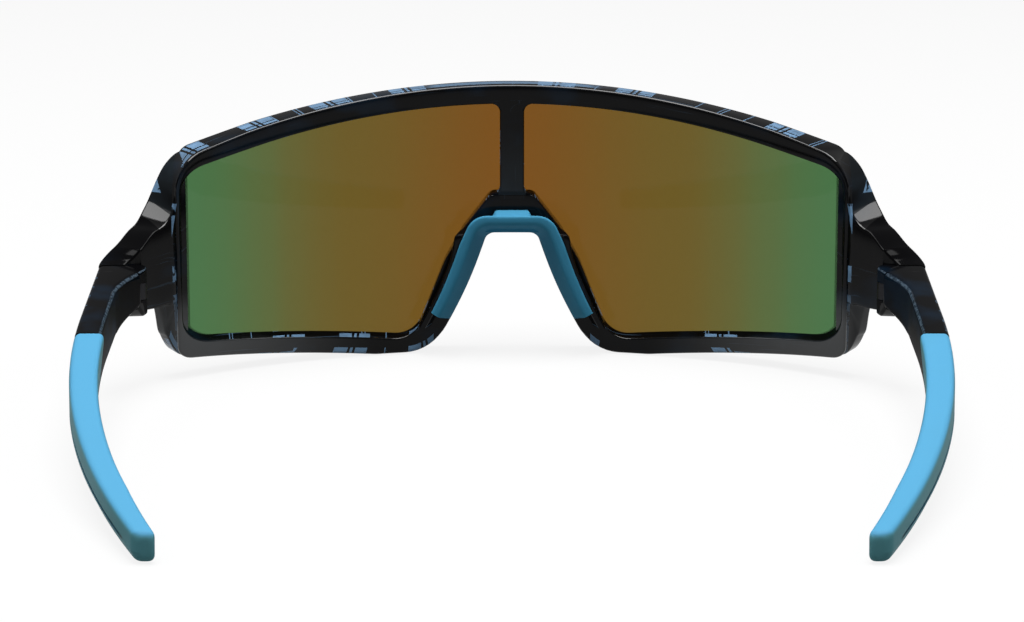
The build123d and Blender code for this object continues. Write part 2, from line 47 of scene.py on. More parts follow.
WRAP_Y, FRONT_R, BACK_R = 11.0, 90.0, 83.5       # wrap axis, front and back face of the rim
BROW_TOP, BROW_FRONT_R, BROW_BACK_R = 51.3, 206.0, 178.0    # the top of the brow slopes to the wearer
BROW_POINTS = 27                                 # on half a brow curve
OPENING_TOP, OPENING_BROW_R = 47.65, 188.0
RIM_X, RIM_BACK_X = 61.8, 61.4                   # half width over the front and over the back edge
SEAT_X, SEAT_R = 60.8, 85.9                      # half width and radius of the seat of the lens


def wrap_y(x, radius):
    """Y of the wrap cylinder of that radius at x."""
    return WRAP_Y - np.sqrt(radius ** 2 - np.asarray(x) ** 2)


def brow_points(top, radius, reach=49.0, count=BROW_POINTS):
    """Points of a brow curve, from the middle outwards: a circle about a centre below its top."""
    x = np.linspace(0.0, reach, count)
    return np.stack([x, top - radius + np.sqrt(radius ** 2 - x ** 2)], 1)


def round_path(points, radii, arc_steps=9, line_steps=7):
    """Polyline whose corners become arcs that touch it at r*tan(turn/2) from each corner."""
    points = np.asarray(points, float)
    out = [points[:1]]
    for i in range(1, len(points) - 1):
        back, ahead = points[i - 1] - points[i], points[i + 1] - points[i]
        back, ahead = back / np.linalg.norm(back), ahead / np.linalg.norm(ahead)
        half_turn = (np.pi - np.arccos(np.clip(back @ ahead, -1, 1))) / 2
        run = radii[i] * np.tan(half_turn)
        t = np.linspace(0, 1, arc_steps)[:, None]
        start, end = points[i] + back * run, points[i] + ahead * run
        weight = np.cos(half_turn)            # a rational quadratic is a true arc
        arc = ((1 - t) ** 2 * start + 2 * t * (1 - t) * weight * points[i] + t ** 2 * end) / (
            (1 - t) ** 2 + 2 * t * (1 - t) * weight + t ** 2)
        if radii[i] > 0:
            lead = np.linspace(out[-1][-1], start, line_steps + 2)[1:-1]
            out += [lead, arc]
        else:
            out.append(points[i:i + 1])
    out.append(np.linspace(out[-1][-1], points[-1], line_steps + 2)[1:])
    return np.concatenate(out)


def both_halves(half):
    """Closed loop from a half outline that starts and ends on the middle plane."""
    return np.concatenate([half, (half * [-1, 1])[-2:0:-1]])


def ring(corners, radii, steps=5):
    """Closed sections with round corners: corners (n, m, 3), radii (n, m) or (m,). Each corner becomes
    a quadratic curve that leaves both edges at the radius from the corner."""
    corners = np.asarray(corners, float)
    radii = np.broadcast_to(np.asarray(radii, float), corners.shape[:2])[..., None]
    ahead = np.roll(corners, -1, 1) - corners
    back = np.roll(corners, 1, 1) - corners
    la = np.linalg.norm(ahead, axis=2, keepdims=True) + 1e-9
    lb = np.linalg.norm(back, axis=2, keepdims=True) + 1e-9
    start = corners + back / lb * np.minimum(radii, 0.48 * lb)
    end = corners + ahead / la * np.minimum(radii, 0.48 * la)
    t = np.linspace(0, 1, steps)[None, None, :, None]
    start, middle, end = start[:, :, None], corners[:, :, None], end[:, :, None]
    arcs = (1 - t) ** 2 * start + 2 * t * (1 - t) * middle + t ** 2 * end
    return arcs.reshape(len(corners), -1, 3)


def tube(rings, closed=False):
    """Skin over rings (n, m, 3): quads between neighbours, and an n-gon on each end of an open one. With
    it, how far along the rings and how far round from the first point of its ring each point lies."""
    n, m = rings.shape[:2]
    i = np.arange(n if closed else n - 1)[:, None]
    j = np.arange(m)[None, :]
    a, b = i * m + j, i * m + (j + 1) % m
    c, d = ((i + 1) % n) * m + (j + 1) % m, ((i + 1) % n) * m + j
    faces = np.stack([a, b, c, d], -1).reshape(-1, 4).tolist()
    if not closed:
        faces += [list(range(m))[::-1], list(range((n - 1) * m, n * m))]
    steps = np.linalg.norm(np.diff(rings.mean(1), axis=0), axis=1)
    along = np.repeat(np.concatenate([[0.0], np.cumsum(steps)]), m)
    sides = np.linalg.norm(np.roll(rings, -1, 1) - rings, axis=2)
    around = np.cumsum(sides, 1) - sides
    around = np.minimum(around, sides.sum(1)[:, None] - around).ravel()
    return rings.reshape(-1, 3), faces, along, around


def make_piece(name, shells, material, body, start=0.0, sharp=34):
    """One object from closed shells in millimetres. It keeps the two lengths of each point as the
    attributes run and round, which the print of the moulding follows."""
    points, faces, along, around = zip(*shells)
    first = np.cumsum([0] + [len(shell) for shell in points])
    faces = [[corner + count for corner in face]
             for shell, count in zip(faces, first.tolist()) for face in shell]
    mesh = bpy.data.meshes.new(name)
    mesh.from_pydata((np.concatenate(points) * MM).tolist(), [], faces)
    for key, values in (("run", np.concatenate(along) + start), ("round", np.concatenate(around))):
        mesh.attributes.new(key, "FLOAT", "POINT").data.foreach_set("value", values.astype(np.float32))
    bm = bmesh.new()
    bm.from_mesh(mesh)
    bmesh.ops.remove_doubles(bm, verts=bm.verts, dist=1e-7)
    bmesh.ops.recalc_face_normals(bm, faces=bm.faces)
    bm.to_mesh(mesh)
    bm.free()
    mesh.shade_smooth()
    mesh.set_sharp_from_angle(angle=math.radians(sharp))
    mesh.materials.append(material)
    piece = bpy.data.objects.new(name, mesh)
    bpy.context.scene.collection.objects.link(piece)
    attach(piece, body)
    return piece


class Value:
    """A shader socket that Python arithmetic works on: each operation adds one Math node."""

    def __init__(self, tree, socket):
        self.tree, self.socket = tree, socket

    def combine(self, operation, *others, reflected=False):
        """One Math node on this value and the others; reflected puts this value last."""
        node = self.tree.nodes.new("ShaderNodeMath")
        node.operation = operation
        for slot, value in zip(node.inputs, (*others, self) if reflected else (self, *others)):
            if isinstance(value, Value):
                self.tree.links.new(value.socket, slot)
            else:
                slot.default_value = value
        return Value(self.tree, node.outputs[0])

    __add__ = __radd__ = partialmethod(combine, "ADD")
    __mul__ = __rmul__ = partialmethod(combine, "MULTIPLY")
    __sub__ = partialmethod(combine, "SUBTRACT")
    __rsub__ = partialmethod(combine, "SUBTRACT", reflected=True)
    __truediv__ = partialmethod(combine, "DIVIDE")
    __rtruediv__ = partialmethod(combine, "DIVIDE", reflected=True)
    __gt__ = partialmethod(combine, "GREATER_THAN")
    __lt__ = partialmethod(combine, "LESS_THAN")
    __abs__ = partialmethod(combine, "ABSOLUTE")
    fraction = partialmethod(combine, "FRACT")
    floor = partialmethod(combine, "FLOOR")
    maximum = partialmethod(combine, "MAXIMUM")
    minimum = partialmethod(combine, "MINIMUM")

    def ramp(self, low, high):
        """0 below low, 1 above high, smooth between."""
        t = ((self - low) / (high - low)).maximum(0.0).minimum(1.0)
        return t * t * (3.0 - 2.0 * t)

    def between(self, low, high):
        """1 between low and high, 0 outside."""
        return (self > low) * (self < high)


class Material:
    """A new material, its node tree and its Principled shader."""

    def __init__(self, name, **constants):
        self.material = bpy.data.materials.new(name)
        self.material.use_nodes = True
        self.tree = self.material.node_tree
        self.shader = self.tree.nodes["Principled BSDF"]
        for socket, value in constants.items():
            self.shader.inputs[socket.replace("_", " ")].default_value = value

    def node(self, kind, output=0, inputs=None, **settings):
        """Any node: its settings, its inputs by name or number, and the output that is wanted."""
        node = self.tree.nodes.new(kind)
        for key, value in settings.items():
            setattr(node, key, value)
        for key, value in (inputs or {}).items():
            if isinstance(value, Value):
                self.tree.links.new(value.socket, node.inputs[key])
            else:
                node.inputs[key].default_value = value
        return Value(self.tree, node.outputs[output])

    def mix(self, factor, a, b):
        """Colour between a and b."""
        return self.node("ShaderNodeMix", 2, {0: factor, 6: a, 7: b}, data_type="RGBA")

    def coordinates(self, output):
        """The three parts of one output of Texture Coordinate."""
        vector = self.node("ShaderNodeTexCoord", output)
        split = self.node("ShaderNodeSeparateXYZ", 0, {0: vector}).socket.node
        return [Value(self.tree, part) for part in split.outputs]

    def place(self):
        """Object coordinates in millimetres: x, y, z."""
        return [part * 1000.0 for part in self.coordinates("Object")]

    def facing(self):
        """The direction that the surface faces: x, y, z."""
        return self.coordinates("Normal")

    def vector(self, x, y, z):
        return self.node("ShaderNodeCombineXYZ", 0, {0: x, 1: y, 2: z})

    def noise(self, vector, scale, detail=2.0):
        return self.node("ShaderNodeTexNoise", 0, {"Vector": vector, "Scale": scale, "Detail": detail})

    def set(self, socket, value):
        self.tree.links.new(value.socket, self.shader.inputs[socket])

    def bump(self, height, distance, strength=1.0):
        self.set("Normal", self.node("ShaderNodeBump", 0, {
            "Height": height, "Distance": distance, "Strength": strength}))


def print_cells(m, run, length, shift, seed):
    """Cells of one length along a piece: how far into its cell a point lies, as a share of it, and a
    random number that is the same all over the cell."""
    place = run / length + shift
    pick = m.node("ShaderNodeTexWhiteNoise", 0, {"Vector": m.vector(place.floor(), *seed)})
    return place.fraction(), pick


def plaid(m, run, around):
    """The print: three blocks in about half of the long cells, in three rows round the section, and
    three hairlines across the section in half of the short cells. Gives its strength, and the shade
    that makes the blocks uneven."""
    block_cell, hair_cell = 14.5, 9.7
    blocks_above, hairs_above = 0.52, 0.5            # only cells with a higher random number are printed
    wobble = m.noise(m.vector(run * 0.5, around * 0.5, 1.0), 1.0) * 0.012
    at, pick = print_cells(m, run, block_cell, wobble, (1.9, 0.5))
    blocks = at.between(0.10, 0.28).maximum(at.between(0.315, 0.35)).maximum(
        at.between(0.385, 0.47 + 0.12 * pick))
    rows = around.between(0.3, 1.7).maximum(around.between(2.2, 5.4)).maximum(around.between(7.3, 9.2))
    shade = 0.65 + 1.2 * (m.noise(m.vector(run * 0.25, around * 0.6, 2.0), 1.0) - 0.4)
    blocks = blocks * rows * (pick > blocks_above) * shade
    at, pick = print_cells(m, run, hair_cell, 0.2, (7.3, 2.2))
    at = at + 0.004 * around
    hairs = (abs(at - 0.30) < 0.014).maximum(abs(at - 0.37) < 0.010).maximum(abs(at - 0.82) < 0.012)
    return blocks.maximum(hairs * (pick > hairs_above) * 0.55), shade


def edge_glints(m, place, facing, shade):
    """Painted glints in the pale blue of the print, broken up by noise: on faces towards the wearer one
    that widens up the outer edge of the rim and two narrow ones under it, and one on the outer top edge of
    the endpiece that faces up."""
    x, y, z = place
    _, facing_y, facing_z = facing
    far = abs(x)
    inset = 61.95 - far                              # distance in from just outside the rim
    upper = (inset < 0.15 * (z - 26.8)) * (z < 32.8)
    middle = (inset < 0.55) * z.between(18.4, 21.4)
    lower = 0.5 * (inset < 0.6) * z.between(4.5, 16.0)
    torn = m.noise(m.vector(x, y * 0.6, z * 0.6), 0.9, 2.0)
    # painted glints up the outer edge of the rim, on faces towards the wearer
    rim_glint = upper.maximum(middle).maximum(lower) * (inset > 0.0)
    rim_glint = rim_glint * facing_y.ramp(0.1, 0.4) * torn.ramp(0.38, 0.46) * shade
    # painted glint on the outer top edge of the endpiece
    endpiece_glint = (far > 64.75 + 0.4 * (z - 35.8)) * (far < 66.5) * z.between(34.4, 37.0)
    endpiece_glint = 0.7 * endpiece_glint * facing_z.ramp(0.2, 0.4) * torn.ramp(0.36, 0.42)
    return rim_glint.minimum(1.0).maximum(endpiece_glint)


def gloss_black(name, temple=False):
    """Gloss black moulding with a generic plaid print in pale blue, faint streaks and soft navy clouds,
    and a long painted highlight in the same pale blue on the faces that look up in the middle of the brow.
    On faces towards the wearer and towards the middle the print is taken off and the streaks dimmed as
    painted shade, except on the lower edge, where the print is made half as bright again as a painted
    highlight.
    Painted glints in pale blue run up the outer edge of the rim on its face towards the wearer and sit on
    the outer top edge of the endpiece. A grey painted sheen lightens the lower corners that face the
    wearer, the foot of the centre bar and the upper walls of the endpieces. A clear coat covers the edges
    of the rim that face up and back, the shoulders of the endpieces and the lower outer corners. On the
    temples the print keeps to the outer face, the inner face is matted and the rounded edge above it
    carries a pale, flecked painted highlight."""
    ends_x = 61.9                                    # where the rim ends and the endpieces begin
    m = Material(name, Specular_IOR_Level=0.10, Coat_Roughness=0.06, Coat_IOR=1.5)
    x, y, z = place = m.place()
    facing_x, facing_y, facing_z = facing = m.facing()
    run = m.node("ShaderNodeAttribute", "Fac", attribute_name="run")
    around = m.node("ShaderNodeAttribute", "Fac", attribute_name="round")
    far = abs(x)
    outward = facing_x * (x / 40.0)                  # above 0 on faces that look away from the middle
    level = z - 0.5 * (far - 62.0)                   # height above a line that rises outwards
    ends = far > ends_x

    pale, shade = plaid(m, run, around)
    unprinted = 1.0 - (ends * (z > 24.0)).maximum((far < 15.0) * (z < 26.0))
    pale = pale * unprinted
    # painted highlight: a pale band on the faces that look up in the middle of the brow
    brow_highlight = (1.0 - far.ramp(14.0, 17.5)) * around.between(1.1, 4.6) * (z > 45.0)
    pale = pale.maximum(brow_highlight * facing_z.ramp(0.5, 0.8) * (0.35 + 0.25 * shade))
    # painted highlight: the print on the lower edge is made half as bright again
    low_edge = (around < 1.7) * (z < 9.0) * (outward > -0.5)
    pale = pale * (1.0 + 0.5 * low_edge)
    # painted shade: the print is taken off and the streaks dimmed on faces towards the wearer and the
    # middle
    inward = (outward < -0.5).maximum(facing_y > 0.5) * (1.0 - low_edge)
    streak = m.noise(m.vector(run * 0.05, around * 1.3, 4.0), 1.0, 3.0).ramp(0.62, 0.72)
    streak = 0.16 * streak * unprinted
    pale = (pale * (1.0 - inward)).maximum(streak * (1.0 - 0.6 * inward)).minimum(1.0)
    # painted glints on the edges, in the pale blue of the print
    pale = pale.maximum(edge_glints(m, place, facing, shade))
    if temple:
        pale = pale * (outward > 0.5)

    cloud = m.noise(m.vector(x * 0.06, y * 0.06, z * 0.1), 1.1, 3.0).ramp(0.50, 0.66)
    base = m.mix(cloud * 0.8, (0.0030, 0.0030, 0.0036, 1), (0.005, 0.014, 0.028, 1))
    # painted sheen: grey lightening on the lower corners that face the wearer, the foot of the centre bar
    # and the upper walls of the endpieces
    low_corner = far.ramp(24.0, 56.0) * (1.0 - z.ramp(9.0, 17.0)) * facing_y.ramp(0.2, 0.6)
    bar_foot = (far < 2.6) * (1.0 - z.ramp(33.0, 44.0)) * (z > 30.2) * 0.9
    wall = ends * (level > 30.8) * facing_z.ramp(0.2, 0.5) * 0.6
    painted_sheen = low_corner.maximum(bar_foot).maximum(wall) * (0.8 + 0.4 * cloud)
    base = m.mix(painted_sheen, base, (0.022, 0.028, 0.033, 1))
    if temple:
        # painted highlight: a pale flecked band on the rounded edge above the inner face of the temple
        edge_highlight = facing_z.ramp(0.3, 0.5) * (1.0 - facing_z.ramp(0.75, 0.92)) * (outward < -0.5)
        fleck = m.noise(m.vector(x, y, z), 1.6, 2.0).ramp(0.40, 0.60)
        base = m.mix(edge_highlight * (0.25 + 0.75 * fleck), base, (0.085, 0.125, 0.17, 1))
    # pale blue: the print together with the painted highlights and glints
    m.set("Base Color", m.mix(pale, base, (0.24, 0.43, 0.68, 1)))

    rough = 0.10 + 0.03 * m.noise(m.vector(x, y, z), 0.6) + 0.1 * pale
    if temple:
        rough = rough + 0.5 * (outward < -1.5)
    else:
        shoulder = ends * level.between(27.6, 30.8) * facing_z.ramp(0.3, 0.45)
        bead = facing_y.ramp(0.2, 0.35) * facing_z.ramp(0.2, 0.35) * (far < ends_x)
        corner = 0.8 * low_corner * (1.0 - 0.75 * far.ramp(61.0, 63.5))
        m.set("Coat Weight", shoulder.maximum(corner).maximum(bead))
    m.set("Roughness", rough)
    return m.material


black = gloss_black("gloss_black")

NOSE_TOP_X, ARCH_Z = 4.59, 22.95                 # corner of the nose arch
NOSE_SLOPE, NOSE_BOW = 0.4556, 0.65              # how the walls under it spread and bulge


def nose_bow(z):
    """How far the nose walls bulge towards each other: half a sine wave over their height."""
    return NOSE_BOW * np.sin(np.pi * np.clip((z - 3.0) / (ARCH_Z - 4.0), 0, 1))


def outer_outline(brow_r, corner, foot, side_x):
    """Half of the outer outline: brow, side wall, lower rim, nose wall and arch."""
    corner_z = BROW_TOP - brow_r + math.sqrt(brow_r ** 2 - side_x ** 2)
    half = round_path(
        np.concatenate([brow_points(BROW_TOP, brow_r), [
            [side_x, corner_z], [side_x, 3.85], [26.0, 0.0],
            [15.05, 0.0], [NOSE_TOP_X, ARCH_Z], [0.0, ARCH_Z]]]),
        [0.0] * BROW_POINTS + [corner, foot, 12.0, 8.5, 2.0, 0.0], line_steps=12)
    wall = (half[:, 0] < 15.0) & (half[:, 1] < ARCH_Z)
    half[:, 0] -= np.where(wall, nose_bow(half[:, 1]), 0.0)
    return half


def opening_outline(side, drop):
    """Half of the outline of the lens opening at the seat of the lens, moved out by side and down by
    drop: behind the seat is a lip that slopes to the wearer, in front of it the opening is wider."""
    return round_path(
        np.concatenate([brow_points(OPENING_TOP, OPENING_BROW_R), [
            [SEAT_X + side, 38.15], [SEAT_X + side, 7.4 - drop], [26.0, 3.93 - drop], [18.8, 3.2 - drop],
            [13.0, 17.4], [9.4, 23.6], [4.1, 30.3], [0.0, 30.3]]]),
        [0.0] * BROW_POINTS + [5.2, 5.0, 12.0, 5.0, 18.0, 8.0, 1.8, 0.0], line_steps=12)


def even(half, count=420):
    """The same outline with its points spread evenly over four stretches between fixed spots, so that
    the outlines match: brow end, side end and nose foot."""
    spots = [0, np.argmin(abs(half[:, 1] - 38.0) + 99 * (half[:, 0] < 55)),
             np.argmin(abs(half[:, 1] - 9.0) + 99 * (half[:, 0] < 55)),
             np.argmin(abs(half[:, 0] - 22.0) + 99 * (half[:, 1] > 10)), len(half) - 1]
    length = np.concatenate([[0], np.cumsum(np.linalg.norm(np.diff(half, axis=0), axis=1))])
    shares = (0.38, 0.12, 0.24, 0.26)
    where = np.concatenate([np.linspace(length[a], length[b], int(count * w), endpoint=False)
                            for a, b, w in zip(spots, spots[1:], shares)] + [[length[-1]]])
    return np.stack([np.interp(where, length, half[:, k]) for k in (0, 1)], 1)


seat_half = even(opening_outline(0.0, 0.0))
seat, inner_front = both_halves(seat_half), both_halves(even(opening_outline(0.3, 0.9)))
inner_back = both_halves(even(opening_outline(-0.4, 0.65)))
outer_back = both_halves(even(outer_outline(BROW_BACK_R, 7.5, 2.6, RIM_BACK_X)))
outer_front = both_halves(even(outer_outline(BROW_FRONT_R, 2.5, 1.5, RIM_X)))


def on_wrap(points):
    """Points given as x, z and radius, laid on the wrap cylinder of that radius."""
    x, z, radius = points[..., 0], points[..., 1], points[..., 2]
    return np.stack([x, wrap_y(x, radius), z], -1)


def rim_rings():
    """Rounded section at every step of the outlines, from outer to inner edge and back to front
    radius, laid on the wrap cylinder."""
    flat = np.stack([np.column_stack([line, np.full(len(line), radius)]) for line, radius in (
        (outer_back, BACK_R), (inner_back, BACK_R), (seat, SEAT_R), (inner_front, FRONT_R),
        (outer_front, FRONT_R))], 1)
    return on_wrap(ring(flat, [0.65, 0.3, 0.05, 0.25, 0.5]))


rim = make_piece("rim", [tube(rim_rings(), closed=True)], black, "front")
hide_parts("front_frame")

# ---- centre bar -----------------------------------------------------------------------------------
# A slim strut of the same moulding, behind the lens, from the brow down to the bridge.
# Its sides flare into both with a small radius.
BAR_HALF, BAR_DEEP, BAR_FLARE = 2.3, 2.3, 1.7


def bar_rings():
    """Sections up the bar; near an end the half width grows by R - sqrt(R^2 - (R - d)^2)."""
    bridge_top, buried = 30.3, 0.9
    z = np.linspace(bridge_top - buried, OPENING_TOP + 0.65, 64)
    gap = np.clip(BAR_FLARE - np.minimum(z - bridge_top, OPENING_TOP - z), 0, BAR_FLARE)
    half = BAR_HALF + BAR_FLARE - np.sqrt(BAR_FLARE ** 2 - gap ** 2)
    back = np.full_like(z, BACK_R + 0.04)
    front = back + BAR_DEEP
    corners = ((-1, back), (1, back), (1, front), (-1, front))
    flat = np.stack([np.stack([side * half, z, radius], -1) for side, radius in corners], 1)
    return on_wrap(ring(flat, [0.5, 0.5, 0.3, 0.3]))


make_piece("centre_bar", [tube(bar_rings())], black, "front", 38.0)

# ---- nose saddle path -----------------------------------------------------------------------------
# The pad and the wings that hold it follow one arch: two slightly bowed legs and a flat top with
# round corners. It opens towards the wearer by 20 degrees.
FLARE = math.tan(math.radians(20.0))
RIM_BACK_Y = WRAP_Y - BACK_R


def saddle(off, foot_z, corner=2.0, leg_steps=22, arc_steps=11):
    """Half arch at distance off outside the base line, from the foot to the middle of the top: the leg
    ends at foot_z, the corner arc grows by half the distance."""
    out = np.array([math.cos(math.atan(NOSE_SLOPE)), math.sin(math.atan(NOSE_SLOPE))])
    along = np.array([-out[1], out[0]])
    turn = math.pi / 2 - math.atan2(out[1], out[0])
    off = np.asarray(off, float)[..., None, None]
    radius = corner + 0.5 * off
    top = np.array([NOSE_TOP_X, ARCH_Z]) + out * off + along * off * math.tan(turn / 2)
    centre = top - along * radius * math.tan(turn / 2) - out * radius
    angles = np.linspace(math.atan2(out[1], out[0]), math.pi / 2, arc_steps)
    arc = centre + radius * np.stack([np.cos(angles), np.sin(angles)], -1)
    start = arc[..., :1, :]
    length = (start[..., 1] - np.asarray(foot_z)) / along[1]
    share = np.linspace(1, 0, leg_steps + 1)[:-1][:, None]
    leg = start - along * length[..., None] * share
    flat = np.linspace(1, 0, 6)[1:][:, None] * np.array([1.0, 0.0]) * arc[..., -1:, 0][..., None]
    flat = flat + np.stack([np.zeros_like(arc[..., -1:, 1]), arc[..., -1:, 1]], -1)
    leg[..., 0] -= nose_bow(leg[..., 1])
    return np.concatenate([leg, arc, flat], -2)


def saddle_rings(corners_off, corners_y, feet, radii):
    """Sections of a saddle: each corner is a half arch at its own distance, depth and foot, mirrored."""
    curves = []
    for off, y, foot_z in zip(corners_off, corners_y, feet):
        half = saddle(off + (y - RIM_BACK_Y) * FLARE, foot_z)
        full = np.concatenate([half, (half * [-1, 1])[-2::-1]])
        depth = np.full(len(full), y)
        if y < RIM_BACK_Y + 1:                       # a front corner, just behind the back of the rim
            depth = np.maximum(depth, wrap_y(full[:, 0], BACK_R - 0.15))
        curves.append(np.stack([full[:, 0], depth, full[:, 1]], -1))
    return ring(np.stack(curves, 1), radii)


# ---- nose wings -----------------------------------------------------------------------------------
# Two thin lips of the frame moulding behind the rim that carry the legs of the soft pad. Each is
# thicker at its top end.
def wing_shell(side):
    """One leg of a saddle 1.3 mm thick, 5.2 mm deep, with a thicker lug at its top end. The back edge
    rounds off over the last 1.6 mm of the height."""
    foot_z, top_z, depth_mm, round_off = 5.2, 24.2, 5.2, 1.6
    inner_off, outer_off, lug_more = 2.05, 3.35, 0.8
    levels = np.linspace(foot_z, top_z, 30)
    base = NOSE_TOP_X + (ARCH_Z - levels) * NOSE_SLOPE - nose_bow(levels)
    scale = math.sqrt(1 + NOSE_SLOPE ** 2)
    fade = np.clip((top_z - levels) / round_off, 0, 1)
    back = RIM_BACK_Y - 0.6 + depth_mm * np.sqrt(1 - (1 - fade) ** 2)
    front = np.full_like(levels, RIM_BACK_Y - 1.2)
    lug = outer_off + lug_more * np.clip((levels - 18.0) / 5.0, 0, 1) ** 1.5
    corner_sets = []
    for off, depth in ((inner_off, front), (lug, front), (lug, back), (inner_off, back)):
        x = base + (off + np.maximum(depth - RIM_BACK_Y, 0) * FLARE) * scale
        corner_sets.append(np.stack([side * x, depth, levels], -1))
    return ring(np.stack(corner_sets, 1), [0.1, 0.1, 0.45, 0.3])


make_piece("nose_wings", [tube(wing_shell(side)) for side in (1, -1)], black, "front",
           40.0)

# ---- lens -----------------------------------------------------------------------------------------
# One curved polycarbonate shield, 2 mm thick, mirror coated: from behind it is green at the ends and
# amber brown in the middle. Its edge lies in the groove of the rim.
LENS_FRONT_R, LENS_BACK_R, LENS_HALF_X = 88.0, 86.0, 60.98
LENS_LAP, LENS_LOW_LAP = 1.0, 1.4                # how far it reaches into the groove, above and below


def lens_rings():
    """Upright sections between the upper and the lower edge of the opening, grown by the lap."""
    tangent = np.roll(seat, -1, 0) - np.roll(seat, 1, 0)
    normal = np.stack([-tangent[:, 1], tangent[:, 0]], 1) / np.linalg.norm(tangent, axis=1)[:, None]
    grown = seat + np.where(seat[:, 1:] < 12.0, LENS_LOW_LAP, LENS_LAP) * normal
    half = len(seat_half)
    corner = np.argmin(abs(grown[:half, 1] - 22.0) + 100.0 * (grown[:half, 0] < 50.0))
    top, bottom = grown[:corner], grown[corner:half][::-1]
    x = np.sin(np.linspace(0, 1, 120) * np.pi / 2) * LENS_HALF_X
    high = np.interp(x, np.maximum.accumulate(top[:, 0]), top[:, 1])
    low = np.interp(x, np.maximum.accumulate(bottom[:, 0]), bottom[:, 1])
    x = np.concatenate([-x[:0:-1], x])
    high, low = np.concatenate([high[:0:-1], high]), np.concatenate([low[:0:-1], low])
    sides = [(low, LENS_BACK_R), (high, LENS_BACK_R), (high, LENS_FRONT_R), (low, LENS_FRONT_R)]
    return np.stack([np.stack([x, wrap_y(x, r), z], -1) for z, r in sides], 1)


def lens_material():
    """Mirror tint: the colour follows the distance from the middle, with faint upright bands."""
    m = Material("lens", Roughness=0.0, Transmission_Weight=1.0, IOR=1.15)
    x = m.place()[0]
    share = (abs(x) / 60.0).minimum(1.0)
    band = m.noise(m.vector(x * 0.25, 0.0, 0.0), 1.0) - 0.5
    share = share + 0.06 * band
    inner_tint = m.mix(share.ramp(0.0, 0.55), (0.195, 0.079, 0.011, 1), (0.150, 0.103, 0.020, 1))
    tint = m.mix(share.ramp(0.50, 1.02), inner_tint, (0.068, 0.172, 0.066, 1))
    m.set("Base Color", tint)
    return m.material


lens_skin = lens_rings()
lens = make_piece("shield_lens_glass", [tube(lens_skin)], lens_material(), "front")
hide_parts("shield_lens")

# ---- nose pad -------------------------------------------------------------------------------------
# A soft blue rubber saddle clipped behind the bridge, with a short tongue on top that runs into
# the bridge.
def soft_blue(name, base, painted_shade_colour, tilt, roughness, gloss, groove=False):
    """Matte rubber with a fine grain. Faces that look up are sky blue; upright ones take a deeper, greener
    painted shade. On the socks the bottom of the groove, which falls by 0.132 mm per mm, is darkened as
    painted shade."""
    m = Material(name, Specular_IOR_Level=gloss)
    x, y, z = m.place()
    facing_x, _, facing_z = m.facing()
    # painted shade: upright faces take the second, deeper and greener colour
    upright = 1.0 - facing_z.ramp(*tilt)
    patch = m.noise(m.vector(x * 0.08, y * 0.08, z * 0.08), 1.0)
    colour = m.mix((upright + 0.2 * (patch - 0.5)).maximum(0.0).minimum(1.0), base, painted_shade_colour)
    if groove:
        # painted shade: a dark line along the bottom of the groove
        from_line = abs(z + 0.1322 * y - 12.3)
        ends = y.ramp(16.0, 24.0) * (1.0 - y.ramp(73.0, 75.0))
        line = (1.0 - from_line.ramp(0.14, 0.30)) * ends * (facing_x * x > 0.0)
        colour = m.mix(line * 0.85, colour, (0.02, 0.055, 0.065, 1))
    m.set("Base Color", colour)
    m.set("Roughness", roughness + 0.1 * m.noise(m.vector(x, y, z), 1.5))
    m.bump(m.noise(m.vector(x, y, z), 6.0), 0.00002, 0.25)
    return m.material


# the second colour is the painted shade of upright faces
pad_blue = soft_blue("pad_blue", (0.095, 0.43, 0.70, 1), (0.068, 0.355, 0.58, 1),
                     tilt=(0.10, 0.50), roughness=0.6, gloss=0.05)
PAD_THICK, PAD_DEEP = 1.9, 7.2
pad_skin = saddle_rings([0.0, PAD_THICK, PAD_THICK, 0.0],
                        [RIM_BACK_Y, RIM_BACK_Y, RIM_BACK_Y + PAD_DEEP, RIM_BACK_Y + PAD_DEEP],
                        [6.4, 7.4, 8.8, 7.8], [0.3, 0.3, 0.7, 0.7])


def tongue_rings():
    """Tongue on top of the pad: low where it runs into the bridge, with a raised stop behind it."""
    y = RIM_BACK_Y + np.array([-2.6, -1.2, -0.1, 0.15, 0.5, 1.2, 1.9, 2.6, 3.2])
    half = np.array([2.9, 3.0, 3.1, 3.9, 4.1, 4.3, 4.4, 4.4, 4.3])
    high = ARCH_Z + np.array([3.0, 3.0, 3.0, 4.1, 4.4, 4.5, 4.4, 4.1, 3.6])
    low = np.full(len(y), ARCH_Z + 0.6)
    slant = np.repeat([0.7, 2.2], [3, 6])
    foot = half + np.repeat([0.0, 1.0], [3, 6])
    corners = [(-foot, low), (foot, low), (foot - slant, high), (slant - foot, high)]
    return ring(np.stack([np.stack([x, y, z], -1) for x, z in corners], 1), [0.1, 0.1, 0.35, 0.35])


pad = make_piece("nose_pad_rubber", [tube(pad_skin), tube(tongue_rings())], pad_blue, "front")
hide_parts("nose_pad")

# ---- endpieces ------------------------------------------------------------------------------------
# Each end of the rim turns back to the hinge: a wall that leaves the front at 45 degrees, narrows
# from the full height of the rim to the height of the temple, and ends in a flat with a round
# recess for the knuckle. Below, its back is cut away to a slanted panel.
OUTER_X, JOINT_Y = 74.6, -38.5                   # outer face of the temple, end of the endpiece
PIVOT = np.array([67.8, -37.5])                  # hinge axis, seen from above


